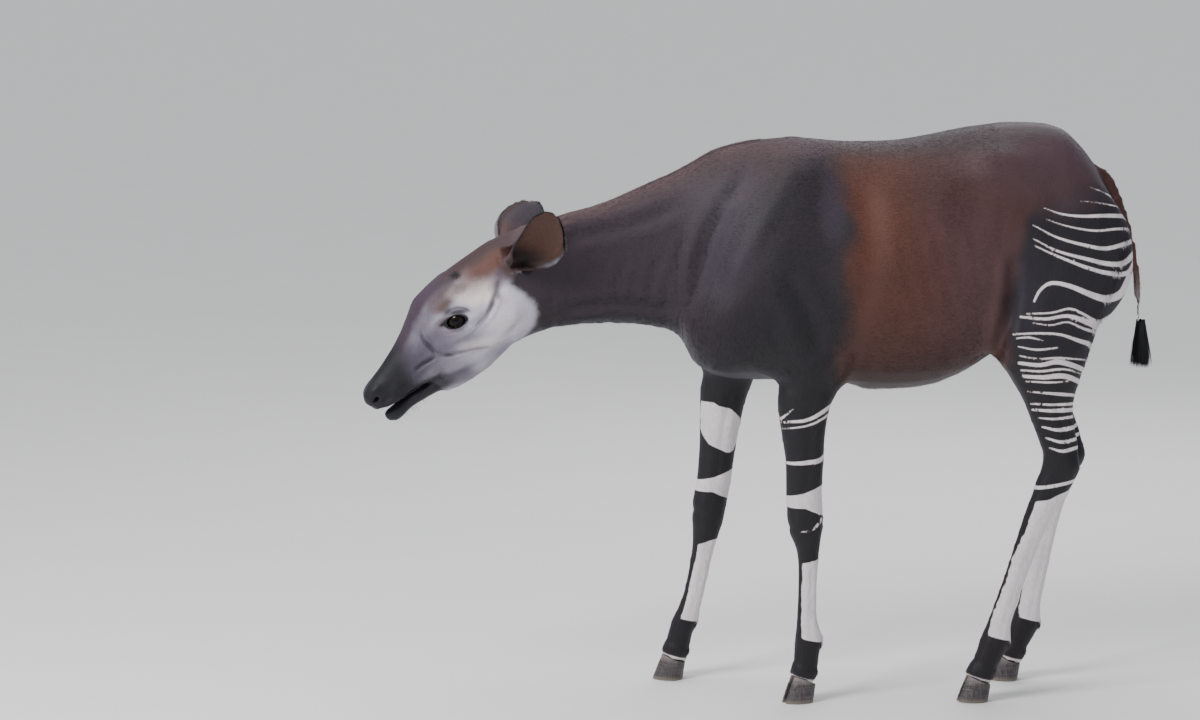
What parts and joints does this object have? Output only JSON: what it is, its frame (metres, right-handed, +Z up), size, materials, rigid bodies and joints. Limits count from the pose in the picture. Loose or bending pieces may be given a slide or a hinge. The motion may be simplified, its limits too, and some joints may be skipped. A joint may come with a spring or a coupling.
{
  "type": "okapi statue",
  "caption": "Life-size still female okapi standing with lowered head and neck stretched forward, striped hind quarters and legs, cupped ears and a tufted tail.",
  "frame": {"origin": "centre of the footprint box on the floor, under the four hooves", "axes": "+X towards the tail along the body (the animal faces -X), +Y towards its right side, +Z up"},
  "size_m": [2.1132, 0.528, 1.5529],
  "materials": {
    "coat_body": "short velvety red-brown to black-brown coat with a soft sheen, white bars on the thighs",
    "coat_neck": "short velvety dark brown coat, redder along the top of the neck",
    "coat_legs": "short coat, black and white bands",
    "coat_face": "short pale grey coat, chestnut towards the ears, darker at the forehead",
    "coat_muzzle": "very short black coat on lips and chin",
    "coat_ear": "short dark coat outside, brown inside, pale fringe",
    "coat_tail": "short red-brown coat",
    "hair_tuft": "long black hair",
    "eye": "wet dark brown, nearly black",
    "hoof_horn": "dark grey horn with growth rings"
  },
  "bodies": {
    "root": {"torso": "coat_body", "neck": "coat_neck", "head": "coat_face", "lower_jaw": "coat_muzzle", "ear_left": "coat_ear", "ear_right": "coat_ear", "eye_left": "eye", "eye_right": "eye", "tail": "coat_tail", "tail_tuft": "hair_tuft", "foreleg_left": "coat_legs", "foreleg_right": "coat_legs", "hindleg_left": "coat_legs", "hindleg_right": "coat_legs", "hoof_foreleg_left_inner": "hoof_horn", "hoof_foreleg_left_outer": "hoof_horn", "hoof_foreleg_right_inner": "hoof_horn", "hoof_foreleg_right_outer": "hoof_horn", "hoof_hindleg_left_inner": "hoof_horn", "hoof_hindleg_left_outer": "hoof_horn", "hoof_hindleg_right_inner": "hoof_horn", "hoof_hindleg_right_outer": "hoof_horn"}
  },
  "joints": []
}
